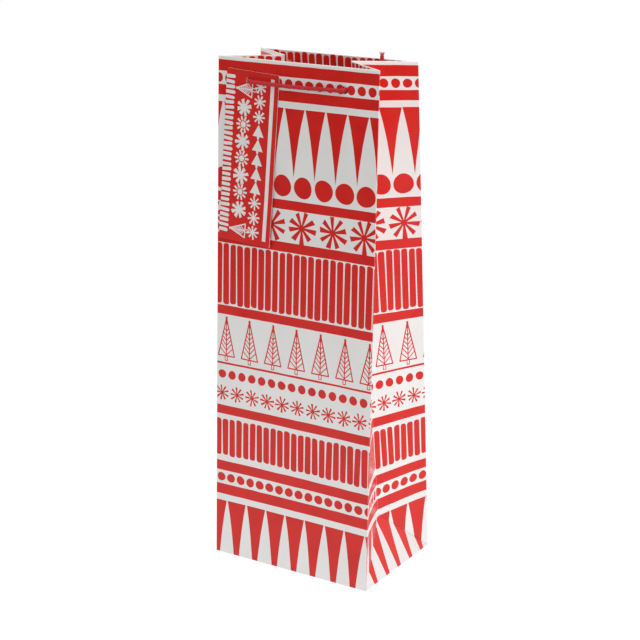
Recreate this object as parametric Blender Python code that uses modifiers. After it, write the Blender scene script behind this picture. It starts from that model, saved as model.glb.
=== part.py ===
"""Paper bottle bag with gusseted sides, cord handles and a hanging gift tag.

The bag stands on its folded bottom. +Z is up, +X runs along the front panel
to its right, +Y points to the back. The origin is the centre of the bottom.
Lengths are in metres. The printed wrap is one sheet in real life; here each
panel between two fold lines is a piece of its own, so that the folds can move.
"""

import math

import bmesh
import bpy
from mathutils import Matrix, Vector

# ---------------------------------------------------------------- dimensions
WIDTH = 0.127          # front and back panels
DEPTH = 0.090          # gusset, flat
HEIGHT = 0.360         # every panel, measured along the paper
PAPER = 0.00025        # laminated art paper
CARD = 0.0004          # stiffener behind the rim
BOARD = 0.0010         # loose board in the bottom
GAP = 0.0003           # clearance between pieces
LAYER_GAP = 0.00015    # and between the layers of the folded rim

FRONT_IN = 0.0130      # how far the front rim leans in
BACK_IN = 0.0260       # how far the back rim leans in
VERTEX_IN = 0.0145     # gusset vertex, in from the side
VERTEX_Y = -0.004
VERTEX_Z = 0.0396

TURN_IN = 0.038        # rim fold, depth inside
STIFFENER = 0.030
HOLE_DROP = 0.0148     # handle holes below the rim
HOLE_X = 0.037
HOLE_R = 0.0029

CORD_R = 0.0014
KNOT_R = 0.0036
FRONT_LEG = 0.108      # front handle: each end hangs this far down inside
LOOP_LENGTH = 0.230    # back handle: cord outside the back panel
BACK_TAIL_RIGHT = 0.0178
BACK_TAIL_LEFT = 0.0065

TAG_W, TAG_H, TAG_T = 0.0420, 0.1180, 0.0005
TAG_HOLE_DROP = 0.0065
TAG_HOLE_SIDE = -0.0026
TAG_TILT = math.radians(3.0)
TAG_HOLE_R = 0.0030

HW, HD = WIDTH / 2, DEPTH / 2


# ---------------------------------------------------------------- scene setup
for old in list(bpy.data.objects):
    bpy.data.objects.remove(old, do_unlink=True)
bag = bpy.data.collections.new("bottle_gift_bag")
bpy.context.scene.collection.children.link(bag)
cutters = bpy.data.collections.new("cutters")
bpy.context.scene.collection.children.link(cutters)

COLOURS = {
    "print": ((0.80, 0.33, 0.32, 1.0), 0.32),
    "inside": ((0.86, 0.86, 0.86, 1.0), 0.55),
    "card": ((0.80, 0.79, 0.76, 1.0), 0.75),
    "board": ((0.72, 0.70, 0.66, 1.0), 0.85),
    "cord": ((0.62, 0.02, 0.03, 1.0), 0.70),
    "tag": ((0.72, 0.04, 0.03, 1.0), 0.35),
}


def finish(obj, look, group=bag):
    colour, rough = COLOURS[look]
    mat = bpy.data.materials.new(obj.name)
    mat.use_nodes = True
    shader = mat.node_tree.nodes["Principled BSDF"]
    shader.inputs["Base Color"].default_value = colour
    shader.inputs["Roughness"].default_value = rough
    shader.inputs["Metallic"].default_value = 0.0
    obj.data.materials.clear()
    obj.data.materials.append(mat)
    for c in list(obj.users_collection):
        c.objects.unlink(obj)
    group.objects.link(obj)
    return obj


# ---------------------------------------------------------------- the folds
def front_at(x, v):
    s = FRONT_IN / HEIGHT
    return Vector((x, -HD + v * s, v * math.sqrt(1 - s * s)))


def back_at(x, v):
    s = BACK_IN / HEIGHT
    return Vector((x, HD - v * s, v * math.sqrt(1 - s * s)))


VERTEX_V = math.hypot(VERTEX_IN, VERTEX_Z)


def crease_top(side):
    """Where the gusset's middle crease meets the rim: both halves keep their width."""
    f, b = front_at(side * HW, HEIGHT), back_at(side * HW, HEIGHT)
    mid = (f + b) / 2
    inward = math.sqrt(HD ** 2 - ((b - f).length / 2) ** 2)
    return Vector((side * (HW - inward), mid.y, HEIGHT - 0.0002))


def vertex(side):
    return Vector((side * (HW - VERTEX_IN), VERTEX_Y, VERTEX_Z))


def crease_at(side, v):
    """Middle crease of a gusset, from the vertex near the bottom to the rim."""
    t = (v - VERTEX_V) / (HEIGHT - VERTEX_V)
    return vertex(side).lerp(crease_top(side), t)


def gusset_row(side, half, v):
    """The two ends of a gusset half at height v: its corner fold and its inner crease."""
    corner = front_at(side * HW, v) if half == "front" else back_at(side * HW, v)
    if v >= VERTEX_V:
        return corner, crease_at(side, v)
    foot = Vector((side * HW, -HD if half == "front" else HD, 0))
    return corner, foot.lerp(vertex(side), v / VERTEX_V)


# ---------------------------------------------------------------- builders
def sheet(name, look, rows, layer, thickness, towards):
    """A thin sheet lofted through rows of points. layer is the depth of its outer face
    below the printed surface and towards is a point on the inner side."""
    bm = bmesh.new()
    grid = [[bm.verts.new(p) for p in row] for row in rows]
    for a, b in zip(grid, grid[1:]):
        for i in range(len(a) - 1):
            bm.faces.new((a[i], a[i + 1], b[i + 1], b[i]))
    bm.normal_update()
    middle = sum((v.co for v in bm.verts), Vector()) / len(bm.verts)
    mean = sum((f.normal * f.calc_area() for f in bm.faces), Vector())
    if mean.dot(towards - middle) > 0:
        bmesh.ops.reverse_faces(bm, faces=bm.faces[:])
        bm.normal_update()
    for v in bm.verts:
        v.co = v.co - v.normal * layer
    mesh = bpy.data.meshes.new(name)
    bm.to_mesh(mesh)
    bm.free()
    obj = bpy.data.objects.new(name, mesh)
    bag.objects.link(obj)
    solid = obj.modifiers.new("thickness", "SOLIDIFY")
    solid.thickness = thickness
    solid.offset = -1.0
    solid.use_even_offset = True
    return finish(obj, look)


def spread(a, b, n):
    return [a.lerp(b, i / n) for i in range(n + 1)]


def trimmed(a, b, cut_a, cut_b, n):
    d = (b - a).normalized()
    return spread(a + d * cut_a, b - d * cut_b, n)


def cut_holes(obj, where, normal, radius):
    for x in where:
        bpy.ops.mesh.primitive_cylinder_add(vertices=24, radius=radius, depth=0.012)
        tool = bpy.context.object
        tool.name = obj.name + "_hole"
        tool.matrix_world = Matrix.Translation(x) @ normal.to_track_quat("Z", "Y").to_matrix().to_4x4()
        tool.hide_render = True
        tool.display_type = "WIRE"
        for c in list(tool.users_collection):
            c.objects.unlink(tool)
        cutters.objects.link(tool)
        cut = obj.modifiers.new("hole", "BOOLEAN")
        cut.operation = "DIFFERENCE"
        cut.solver = "EXACT"
        cut.object = tool


INSIDE = Vector((0, -0.004, 0.18))

# ---------------------------------------------------------------- panels
front_normal = (front_at(HW, 0) - front_at(-HW, 0)).cross(front_at(0, HEIGHT) - front_at(0, 0)).normalized()
FRONT_HOLES = [front_at(-HOLE_X, HEIGHT - HOLE_DROP), front_at(HOLE_X, HEIGHT - HOLE_DROP)]
BACK_HOLES = [back_at(-HOLE_X, HEIGHT - HOLE_DROP), back_at(HOLE_X, HEIGHT - HOLE_DROP)]
back_normal = (back_at(-HOLE_X, HEIGHT - HOLE_DROP) - back_at(HOLE_X, HEIGHT - HOLE_DROP)).cross(
    back_at(0, HEIGHT) - back_at(0, HEIGHT - 0.05)).normalized()

EDGE = 0.0004


def front_rows(x0, x1, v0, v1, nx, nv):
    return [[front_at(x0 + (x1 - x0) * i / nx, v0 + (v1 - v0) * j / nv) for i in range(nx + 1)] for j in range(nv + 1)]


def back_rows(x0, x1, v0, v1, nx, nv):
    return [[back_at(x0 + (x1 - x0) * i / nx, v0 + (v1 - v0) * j / nv) for i in range(nx + 1)] for j in range(nv + 1)]


RIM = HEIGHT - 0.0003
front_panel = sheet("front_panel", "print", front_rows(-HW + EDGE, HW - EDGE, 0.0006, RIM, 1, 1), 0, PAPER, INSIDE)
back_panel = sheet("back_panel", "print", back_rows(-HW + EDGE, HW - EDGE, 0.0006, RIM, 1, 1), 0, PAPER, INSIDE)
cut_holes(front_panel, FRONT_HOLES, front_normal, HOLE_R)
cut_holes(back_panel, BACK_HOLES, back_normal, HOLE_R)

CORNER_CLEAR = 0.0105
front_card = sheet("front_rim_card", "card", front_rows(-HW + CORNER_CLEAR, HW - CORNER_CLEAR, HEIGHT - STIFFENER, RIM, 1, 1), PAPER + LAYER_GAP, CARD, INSIDE)
back_card = sheet("back_rim_card", "card", back_rows(-HW + CORNER_CLEAR, HW - CORNER_CLEAR, HEIGHT - STIFFENER, RIM, 1, 1), PAPER + LAYER_GAP, CARD, INSIDE)
TURN_LAYER = PAPER + LAYER_GAP + CARD + LAYER_GAP
front_turn = sheet("front_rim_turn_in", "print", front_rows(-HW + CORNER_CLEAR, HW - CORNER_CLEAR, HEIGHT - TURN_IN, RIM, 1, 1), TURN_LAYER, PAPER, INSIDE)
back_turn = sheet("back_rim_turn_in", "print", back_rows(-HW + CORNER_CLEAR, HW - CORNER_CLEAR, HEIGHT - TURN_IN, RIM, 1, 1), TURN_LAYER, PAPER, INSIDE)
for o in (front_card, front_turn):
    cut_holes(o, FRONT_HOLES, front_normal, HOLE_R)
for o in (back_card, back_turn):
    cut_holes(o, BACK_HOLES, back_normal, HOLE_R)

# the wrap's glued lap, inside the back panel at its left fold
sheet("glued_side_lap", "inside", back_rows(-HW + 0.007, -HW + 0.021, 0.004, HEIGHT - TURN_IN - 0.001, 1, 1), PAPER + LAYER_GAP, PAPER, INSIDE)

# ---------------------------------------------------------------- gussets
LOW = [0.008, 0.016, 0.025, 0.034]
HIGH = [VERTEX_V + (RIM - VERTEX_V) * i / 8 for i in range(9)]
for side, word in ((-1, "left"), (1, "right")):
    middle = Vector((0, VERTEX_Y, 0.2))
    for half in ("front", "back"):
        rows = []
        for v in LOW + HIGH:
            a, b = gusset_row(side, half, v)
            clear = 0.0010 + 0.0014 * v / HEIGHT
            inner = 0.0012 if v < VERTEX_V else 0.0009 + 0.0016 * max(0.0, 1 - (v - VERTEX_V) / 0.28)
            if v < VERTEX_V:
                clear = min(clear, 0.25 * (b - a).length)
                inner = min(inner, 0.30 * (b - a).length)
            rows.append(trimmed(a, b, clear, inner, 3))
        sheet(f"{word}_gusset_{half}", "print", rows, 0, PAPER, middle)
        rows = []
        for j in range(4):
            v = HEIGHT - TURN_IN + (RIM - HEIGHT + TURN_IN) * j / 3
            a, b = gusset_row(side, half, v)
            rows.append(trimmed(a, b, CORNER_CLEAR, 0.0024, 2))
        sheet(f"{word}_{half}_rim_turn_in", "print", rows, PAPER + GAP, PAPER, middle)
    # the triangle between the two diagonal creases, hinged on the bottom side edge
    foot_f, foot_b, top = Vector((side * HW, -HD, 0)), Vector((side * HW, HD, 0)), vertex(side)
    centre = (foot_f + foot_b + top) / 3
    shrink = [p + (centre - p) * s for p, s in ((foot_f, 0.09), (foot_b, 0.09), (top, 0.085))]
    up = (top - Vector((side * HW, 0, 0))).normalized()
    for k in (0, 1):
        shrink[k] = Vector((side * HW, shrink[k].y, 0)) + up * 0.0010
    bm = bmesh.new()
    bm.faces.new([bm.verts.new(p) for p in shrink])
    bm.normal_update()
    if next(iter(bm.faces)).normal.x * side < 0:
        bmesh.ops.reverse_faces(bm, faces=bm.faces[:])
    mesh = bpy.data.meshes.new(f"{word}_gusset_triangle")
    bm.to_mesh(mesh)
    bm.free()
    tri = bpy.data.objects.new(f"{word}_gusset_triangle", mesh)
    bag.objects.link(tri)
    solid = tri.modifiers.new("thickness", "SOLIDIFY")
    solid.thickness = PAPER
    solid.offset = -1.0
    finish(tri, "print")


# ---------------------------------------------------------------- bottom
def block(name, look, x, y, z):
    bpy.ops.mesh.primitive_cube_add(size=1)
    obj = bpy.context.object
    obj.name = name
    obj.scale = (x[1] - x[0], y[1] - y[0], z[1] - z[0])
    obj.location = ((x[0] + x[1]) / 2, (y[0] + y[1]) / 2, (z[0] + z[1]) / 2)
    bpy.ops.object.transform_apply(location=False, rotation=False, scale=True)
    return finish(obj, look)


step = PAPER + GAP
block("bottom_front_flap", "print", (-HW + EDGE, HW - EDGE), (-HD + EDGE, 0.030), (0, PAPER))
block("bottom_back_flap", "inside", (-HW + EDGE, HW - EDGE), (-0.020, HD - EDGE), (step, step + PAPER))
block("bottom_left_flap", "inside", (-HW + 0.0015, -0.022), (-HD + 0.002, HD - 0.002), (2 * step, 2 * step + PAPER))
block("bottom_right_flap", "inside", (0.022, HW - 0.0015), (-HD + 0.002, HD - 0.002), (2 * step, 2 * step + PAPER))
BOARD_Z = 3 * step
board = block("base_board", "board", (-0.0605, 0.0605), (-0.0425, 0.0425), (BOARD_Z, BOARD_Z + BOARD))


# ---------------------------------------------------------------- cords
def smooth_route(points, spacing):
    """A centripetal Catmull-Rom curve through the points, resampled at even spacing."""
    pts = [Vector(p) for p in points]
    pts = [pts[0] * 2 - pts[1]] + pts + [pts[-1] * 2 - pts[-2]]
    fine = []
    for k in range(1, len(pts) - 2):
        p0, p1, p2, p3 = pts[k - 1:k + 3]
        t1 = (p1 - p0).length ** 0.5
        t2 = t1 + (p2 - p1).length ** 0.5
        t3 = t2 + (p3 - p2).length ** 0.5
        for i in range(24):
            t = t1 + (t2 - t1) * i / 24
            a1 = p0 * ((t1 - t) / t1) + p1 * (t / t1)
            a2 = p1 * ((t2 - t) / (t2 - t1)) + p2 * ((t - t1) / (t2 - t1))
            a3 = p2 * ((t3 - t) / (t3 - t2)) + p3 * ((t - t2) / (t3 - t2))
            b1 = a1 * ((t2 - t) / t2) + a2 * (t / t2)
            b2 = a2 * ((t3 - t) / (t3 - t1)) + a3 * ((t - t1) / (t3 - t1))
            fine.append(b1 * ((t2 - t) / (t2 - t1)) + b2 * ((t - t1) / (t2 - t1)))
    fine.append(pts[-2])
    total = [0.0]
    for a, b in zip(fine, fine[1:]):
        total.append(total[-1] + (b - a).length)
    n = max(2, round(total[-1] / spacing))
    out, k = [], 0
    for i in range(n + 1):
        want = total[-1] * i / n
        while k < len(total) - 2 and total[k + 1] < want:
            k += 1
        share = (want - total[k]) / max(total[k + 1] - total[k], 1e-12)
        out.append(fine[k].lerp(fine[k + 1], share))
    return out


def cord(name, points, spacing=0.004):
    curve = bpy.data.curves.new(name, "CURVE")
    curve.dimensions = "3D"
    curve.bevel_depth = CORD_R
    curve.bevel_resolution = 2
    curve.use_fill_caps = True
    line = curve.splines.new("POLY")
    route = smooth_route(points, spacing)
    line.points.add(len(route) - 1)
    for p, q in zip(line.points, route):
        p.co = (*q, 1.0)
    obj = bpy.data.objects.new(name, curve)
    bag.objects.link(obj)
    return finish(obj, "cord")


INNER = TURN_LAYER + PAPER + GAP + CORD_R    # cord centre behind the layers of the front rim
ON_TAG = GAP + TAG_T + GAP + CORD_R          # cord centre over the tag
ON_PANEL = GAP + CORD_R                      # cord centre over the bare panel


def off_front(x, below, n):
    """A point n outside the front panel, at the hole's height less below."""
    return front_at(x, HEIGHT - HOLE_DROP - below) + front_normal * n


def leg(x, depth):
    """A point on the cord's end that hangs straight down inside."""
    top = off_front(x, 0.006, -INNER - 0.0004)
    return Vector((x, top.y, top.z - depth))


front_route = (
    [leg(-HOLE_X, d) for d in (FRONT_LEG, 0.09, 0.07, 0.05, 0.03, 0.015, 0.006)]
    + [off_front(-HOLE_X, 0.0022, -INNER), off_front(-HOLE_X, 0.0, -0.0012),
       off_front(-HOLE_X + 0.0002, 0.0, 0.0008), off_front(-HOLE_X + 0.0012, 0.0, ON_TAG + 0.0001), off_front(-HOLE_X + 0.0055, 0.0004, ON_TAG + 0.0006)]
    + [off_front(x, 0.0010 * (1 - ((x + 0.001) / 0.036) ** 2), n)
       for x, n in ((-0.026, ON_TAG + 0.0002), (-0.017, ON_TAG), (-0.006, ON_PANEL + 0.0006), (0.006, ON_PANEL), (0.018, ON_PANEL), (0.027, ON_PANEL))]
    + [off_front(HOLE_X - 0.0050, 0.0004, ON_PANEL + 0.0004), off_front(HOLE_X - 0.0010, 0.0, ON_PANEL - 0.0004),
       off_front(HOLE_X, 0.0, -0.0012), off_front(HOLE_X, 0.0022, -INNER)]
    + [leg(HOLE_X, d) for d in (0.006, 0.015, 0.03, 0.05, 0.07, 0.09, FRONT_LEG)]
)
cord("front_handle_cord", front_route, 0.0045)


def ball(centre, radius, stretch=1.0):
    bpy.ops.mesh.primitive_uv_sphere_add(segments=16, ring_count=10, radius=radius, location=centre)
    obj = bpy.context.object
    obj.scale = (1, 1, stretch)
    bpy.ops.object.transform_apply(location=False, rotation=False, scale=True)
    return obj


for x, word in ((-HOLE_X, "left"), (HOLE_X, "right")):
    end = leg(x, FRONT_LEG)
    knot = ball(end - Vector((0, 0, GAP + KNOT_R * 1.15)), KNOT_R, 1.15)
    knot.name = f"front_{word}_knot"
    finish(knot, "cord")

# back handle: the knots, with the stretch that goes through the hole, stay with the panel
AXIS_OUT = 0.0026
back_axis = [p + back_normal * AXIS_OUT for p in BACK_HOLES]


def rod(a, b, radius, sides=14):
    bpy.ops.mesh.primitive_cylinder_add(vertices=sides, radius=radius, depth=(b - a).length)
    obj = bpy.context.object
    obj.matrix_world = Matrix.Translation((a + b) / 2) @ (b - a).to_track_quat("Z", "Y").to_matrix().to_4x4()
    return obj


def join_bodies(base, others):
    for o in others:
        o.hide_render = True
        o.display_type = "WIRE"
        for c in list(o.users_collection):
            c.objects.unlink(o)
        cutters.objects.link(o)
        union = base.modifiers.new("join", "BOOLEAN")
        union.operation = "UNION"
        union.solver = "EXACT"
        union.object = o


BACK_STACK = TURN_LAYER + PAPER
for hole, axis, word, tail in zip(BACK_HOLES, back_axis, ("left", "right"), (BACK_TAIL_LEFT, BACK_TAIL_RIGHT)):
    centre = hole - back_normal * (BACK_STACK + GAP + KNOT_R)
    knot = ball(centre, KNOT_R)
    knot.name = f"back_{word}_knot"
    tip = centre + Vector((0, 0, KNOT_R * 0.4 + tail)) + back_normal * 0.0005
    parts = [rod(centre, axis, CORD_R), rod(centre + Vector((0, 0, 0.0003)), tip, CORD_R * 1.12), ball(axis, CORD_R * 1.03)]
    join_bodies(knot, parts)
    finish(knot, "cord")

# the loop hangs behind the back panel as a catenary of the loop's own length
half_span = (back_axis[1] - back_axis[0]).length / 2
low, high = 0.5, 8.0
for _ in range(60):
    k = (low + high) / 2
    if math.sinh(k) / k < LOOP_LENGTH / (2 * half_span):
        low = k
    else:
        high = k
sag = half_span / k
loop_mid = (back_axis[0] + back_axis[1]) / 2
loop_x = (back_axis[1] - back_axis[0]).normalized()
down = (back_at(0, 0.20) - back_at(0, 0.34)).normalized()
down = (down - loop_x * down.dot(loop_x)).normalized()
loop_route = []
for i in range(41):
    s = (-1 + 2 * i / 40) * math.sinh(k)          # even steps along the catenary
    u = math.asinh(s)
    loop_route.append(loop_mid + loop_x * (u * sag) + down * (sag * (math.cosh(k) - math.cosh(u))) + back_normal * 0.0006 * (1 - (u / k) ** 2))
for end, inner in ((0, 1), (-1, -2)):
    d = (loop_route[inner] - loop_route[end]).normalized()
    loop_route[end] = loop_route[end] + d * (CORD_R * 1.03 + GAP + 0.0002)
cord("back_handle_cord", loop_route, 0.0045)

# ---------------------------------------------------------------- gift tag
tag_hole = off_front(-HOLE_X, 0.0, GAP)
across = Vector((1, 0, 0))
upward = across.cross(front_normal).normalized() * -1
if upward.z < 0:
    upward.negate()
turn = Matrix.Rotation(-TAG_TILT, 3, front_normal)
across, upward = turn @ across, turn @ upward
bpy.ops.mesh.primitive_cube_add(size=1)
tag = bpy.context.object
tag.name = "gift_tag"
tag.scale = (TAG_W, TAG_H, TAG_T)
bpy.ops.object.transform_apply(location=False, rotation=False, scale=True)
place = Matrix((across, upward, front_normal)).transposed().to_4x4()
centre = tag_hole + front_normal * (TAG_T / 2) - across * TAG_HOLE_SIDE - upward * (TAG_H / 2 - TAG_HOLE_DROP)
tag.matrix_world = Matrix.Translation(centre) @ place
corner = tag.modifiers.new("corners", "BEVEL")
corner.width = 0.0012
corner.segments = 3
corner.limit_method = "ANGLE"
corner.affect = "VERTICES"
finish(tag, "tag")
tag.modifiers.clear()
cut_holes(tag, [tag_hole], front_normal, TAG_HOLE_R)
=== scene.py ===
import math

import bpy
from mathutils import Matrix, Vector
from mathutils.geometry import delaunay_2d_cdt


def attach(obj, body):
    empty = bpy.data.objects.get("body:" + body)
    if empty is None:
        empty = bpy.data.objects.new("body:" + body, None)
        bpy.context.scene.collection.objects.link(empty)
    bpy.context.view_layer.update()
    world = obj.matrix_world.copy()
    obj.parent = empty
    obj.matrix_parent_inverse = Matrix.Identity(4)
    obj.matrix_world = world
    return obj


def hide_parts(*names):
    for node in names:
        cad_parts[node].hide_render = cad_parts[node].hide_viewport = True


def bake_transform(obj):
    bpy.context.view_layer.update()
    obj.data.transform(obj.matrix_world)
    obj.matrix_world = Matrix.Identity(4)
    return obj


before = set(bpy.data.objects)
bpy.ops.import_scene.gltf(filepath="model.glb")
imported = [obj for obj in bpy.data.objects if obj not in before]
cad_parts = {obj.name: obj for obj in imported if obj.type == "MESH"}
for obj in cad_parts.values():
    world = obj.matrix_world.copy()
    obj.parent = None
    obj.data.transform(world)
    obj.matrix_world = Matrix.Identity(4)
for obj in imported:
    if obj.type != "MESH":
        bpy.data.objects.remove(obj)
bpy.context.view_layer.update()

# ------------------------------------------------------------------ sizes, as the design has them (mm)
WIDTH, DEPTH, HEIGHT = 127.0, 90.0, 360.0
HW, HD = WIDTH / 2, DEPTH / 2
PAPER = 0.25
FRONT_IN, BACK_IN = 13.0, 26.0
VERTEX_IN, VERTEX_Y, VERTEX_Z = 14.5, -4.0, 39.6
VERTEX_V = math.hypot(VERTEX_IN, VERTEX_Z)
TURN_IN, HOLE_DROP, HOLE_X, HOLE_R = 38.0, 14.8, 37.0, 2.6
LAYERS = 1.20          # depth of the panel's whole rim, card and turn-in included
GUSSET_LAYERS = 0.80   # and of a gusset's
GAP = 0.3
CORD_R, KNOT_R = 1.4, 3.6
FRONT_LEG, LOOP_LENGTH = 108.0, 230.0
BACK_TAILS = {"left": 6.5, "right": 17.8}
TAG_W, TAG_H, TAG_T = 42.0, 118.0, 0.5
TAG_HOLE_DROP, TAG_HOLE_SIDE, TAG_TILT = 6.5, -2.6, math.radians(3.0)
BEND = 0.30            # outer radius of a fold
ZONE = 1.6             # width of sheet beside a fold that the bend takes in


def hash01(*keys):
    """A steady pseudo-random number from 0 to 1."""
    x = 12.9898
    for i, k in enumerate(keys):
        x += float(k) * (78.233 + 37.719 * i)
    return (math.sin(x) * 43758.5453) % 1.0


def smooth(t):
    t = min(1.0, max(0.0, t))
    return t * t * (3 - 2 * t)


# ------------------------------------------------------------------ camera and stage
AZ, EL, DIST, TX, TZ = math.radians(32.036), math.radians(17.298), 1.1753, -0.0018, 0.1748
back_dir = Vector((math.sin(AZ) * math.cos(EL), -math.cos(AZ) * math.cos(EL), math.sin(EL)))
right_dir = Vector((math.cos(AZ), math.sin(AZ), 0.0))
up_dir = back_dir.cross(right_dir)
target = right_dir * TX + Vector((0, 0, TZ))
camera_data = bpy.data.cameras.new("camera")
camera = bpy.data.objects.new("camera", camera_data)
bpy.context.scene.collection.objects.link(camera)
camera.matrix_world = Matrix.Translation(target + back_dir * DIST) @ Matrix((right_dir, up_dir, back_dir)).transposed().to_4x4()
camera_data.sensor_width = 36.0
camera_data.lens = 93.99
camera_data.clip_end = 60.0
camera_data.dof.use_dof = False
bpy.context.scene.camera = camera
bpy.context.scene.view_settings.view_transform = "Standard"


# ------------------------------------------------------------------ materials
def node(tree, kind, **inputs):
    n = tree.nodes.new(kind)
    for k, v in inputs.items():
        n.inputs[k.replace("_", " ")].default_value = v
    return n


def noise(tree, scale, detail=3.0, rough=0.55, stretch=None):
    coords = tree.nodes.new("ShaderNodeTexCoord")
    n = node(tree, "ShaderNodeTexNoise", Scale=scale, Detail=detail, Roughness=rough)
    if stretch:
        m = tree.nodes.new("ShaderNodeMapping")
        m.inputs["Scale"].default_value = stretch
        tree.links.new(coords.outputs["Object"], m.inputs["Vector"])
        tree.links.new(m.outputs["Vector"], n.inputs["Vector"])
    else:
        tree.links.new(coords.outputs["Object"], n.inputs["Vector"])
    return n


def ramp(tree, source, low, high, a, b):
    r = node(tree, "ShaderNodeMapRange")
    r.inputs["From Min"].default_value = low
    r.inputs["From Max"].default_value = high
    r.inputs["To Min"].default_value = a
    r.inputs["To Max"].default_value = b
    tree.links.new(source, r.inputs["Value"])
    return r.outputs["Result"]


def mix(tree, factor, a, b):
    m = tree.nodes.new("ShaderNodeMix")
    m.data_type = "RGBA"
    m.inputs["A"].default_value = (*a, 1)
    m.inputs["B"].default_value = (*b, 1)
    tree.links.new(factor, m.inputs["Factor"])
    return m.outputs["Result"]


def material(name, a, b, scale, rough, bump_scale, bump, coat=0.0, spec=0.5, grain=None, detail=3.0, stretch=None):
    """A Principled material whose colour runs between a and b, with its own roughness and relief."""
    mat = bpy.data.materials.new(name)
    mat.use_nodes = True
    tree = mat.node_tree
    bsdf = tree.nodes["Principled BSDF"]
    tint = noise(tree, scale, detail, stretch=stretch)
    tree.links.new(mix(tree, ramp(tree, tint.outputs["Fac"], 0.35, 0.65, 0.0, 1.0), a, b), bsdf.inputs["Base Color"])
    patch = noise(tree, scale * 0.37, 2.0)
    tree.links.new(ramp(tree, patch.outputs["Fac"], 0.3, 0.7, rough[0], rough[1]), bsdf.inputs["Roughness"])
    bsdf.inputs["Specular IOR Level"].default_value = spec
    bsdf.inputs["Coat Weight"].default_value = coat
    bsdf.inputs["Coat Roughness"].default_value = 0.16
    relief = noise(tree, bump_scale, 4.0, stretch=grain)
    bump_node = node(tree, "ShaderNodeBump", Strength=bump, Distance=0.0002)
    tree.links.new(relief.outputs["Fac"], bump_node.inputs["Height"])
    tree.links.new(bump_node.outputs["Normal"], bsdf.inputs["Normal"])
    return mat


white_print = material("laminated_white", (0.80, 0.80, 0.79), (0.835, 0.835, 0.825), 45, (0.28, 0.36), 900, 0.08, spec=0.38)
# painted shade: a darker white for the foot triangle, whose face tilts down, on the same paper as the rest
white_foot_painted_shade = material("laminated_white_painted_shade", (0.705, 0.680, 0.685), (0.740, 0.715, 0.720), 45, (0.30, 0.38), 900, 0.08, spec=0.34)
red_ink = material("laminated_red", (0.630, 0.0095, 0.0055), (0.680, 0.0135, 0.0080), 60, (0.24, 0.32), 900, 0.08, spec=0.38)
# the two worn colours along the folds are partly real fold wear and partly a painted highlight on each fold
red_fold_wear_and_highlight = material("red_fold_wear_and_painted_highlight", (0.72, 0.075, 0.075), (0.80, 0.16, 0.15), 700, (0.34, 0.50), 1500, 0.25)
white_fold_wear_and_highlight = material("white_fold_wear_and_painted_highlight", (0.82, 0.81, 0.80), (0.87, 0.86, 0.85), 500, (0.35, 0.50), 1500, 0.25)
reverse = material("paper_reverse", (0.77, 0.765, 0.745), (0.82, 0.815, 0.80), 120, (0.62, 0.78), 1400, 0.35, spec=0.35)
card_stock = material("grey_rim_card", (0.44, 0.42, 0.39), (0.55, 0.53, 0.49), 900, (0.75, 0.88), 1600, 0.5, spec=0.3)
board_stock = material("grey_base_board", (0.40, 0.375, 0.335), (0.52, 0.49, 0.445), 800, (0.75, 0.9), 1300, 0.7, spec=0.3)
tag_white = material("tag_white", (0.79, 0.79, 0.78), (0.83, 0.83, 0.82), 60, (0.42, 0.52), 1000, 0.15)
tag_red = material("tag_red", (0.64, 0.0085, 0.0055), (0.69, 0.0125, 0.0080), 70, (0.36, 0.46), 1000, 0.15, spec=0.38)
tag_back = material("tag_reverse", (0.76, 0.755, 0.735), (0.81, 0.805, 0.79), 120, (0.62, 0.75), 1400, 0.35, spec=0.35)
cord_red = material("cord_fibre", (0.42, 0.005, 0.009), (0.66, 0.050, 0.060), 1700, (0.62, 0.80), 2600, 0.9, spec=0.30, detail=4.0)
cord_core = material("frayed_fibre", (0.66, 0.045, 0.055), (0.88, 0.26, 0.26), 1800, (0.7, 0.85), 2600, 0.8, spec=0.3, detail=4.0)

PRINT = (white_print, red_ink, white_fold_wear_and_highlight, red_fold_wear_and_highlight, reverse)


# ------------------------------------------------------------------ the folds of the bag
def V(x, y, z):
    return Vector((x, y, z))


def front_at(x, v):
    s = FRONT_IN / HEIGHT
    return V(x, -HD + v * s, v * math.sqrt(1 - s * s))


def back_at(x, v):
    s = BACK_IN / HEIGHT
    return V(x, HD - v * s, v * math.sqrt(1 - s * s))


def crease_top(side):
    f, b = front_at(side * HW, HEIGHT), back_at(side * HW, HEIGHT)
    inward = math.sqrt(HD ** 2 - ((b - f).length / 2) ** 2)
    return V(side * (HW - inward), (f.y + b.y) / 2, HEIGHT - 0.2)


def vertex(side):
    return V(side * (HW - VERTEX_IN), VERTEX_Y, VERTEX_Z)


def crease_at(side, v):
    return vertex(side).lerp(crease_top(side), (v - VERTEX_V) / (HEIGHT - VERTEX_V))


def corner_at(side, half, v):
    return front_at(side * HW, v) if half == "front" else back_at(side * HW, v)


def inner_end(side, half, v):
    if v >= VERTEX_V:
        return crease_at(side, v)
    foot = V(side * HW, -HD if half == "front" else HD, 0)
    return foot.lerp(vertex(side), v / VERTEX_V)


FRONT_IN_N = V(0, math.sqrt(1 - (FRONT_IN / HEIGHT) ** 2), -FRONT_IN / HEIGHT)
BACK_IN_N = V(0, -math.sqrt(1 - (BACK_IN / HEIGHT) ** 2), -BACK_IN / HEIGHT)


def rim_fold(v, layers):
    """Where a point v mm up the sheet lies: its height and its depth, over the rim and down inside."""
    r = BEND
    v0, quarter, flat = HEIGHT - r, math.pi * r / 2, layers - 2 * r
    if v <= v0:
        return v, 0.0
    a = v - v0
    if a < quarter:
        return v0 + r * math.sin(a / r), r - r * math.cos(a / r)
    a -= quarter
    if a < flat:
        return HEIGHT, r + a
    a -= flat
    if a < quarter:
        return v0 + r * math.cos(a / r), layers - r + r * math.sin(a / r)
    return v0 - (a - quarter), layers


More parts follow.
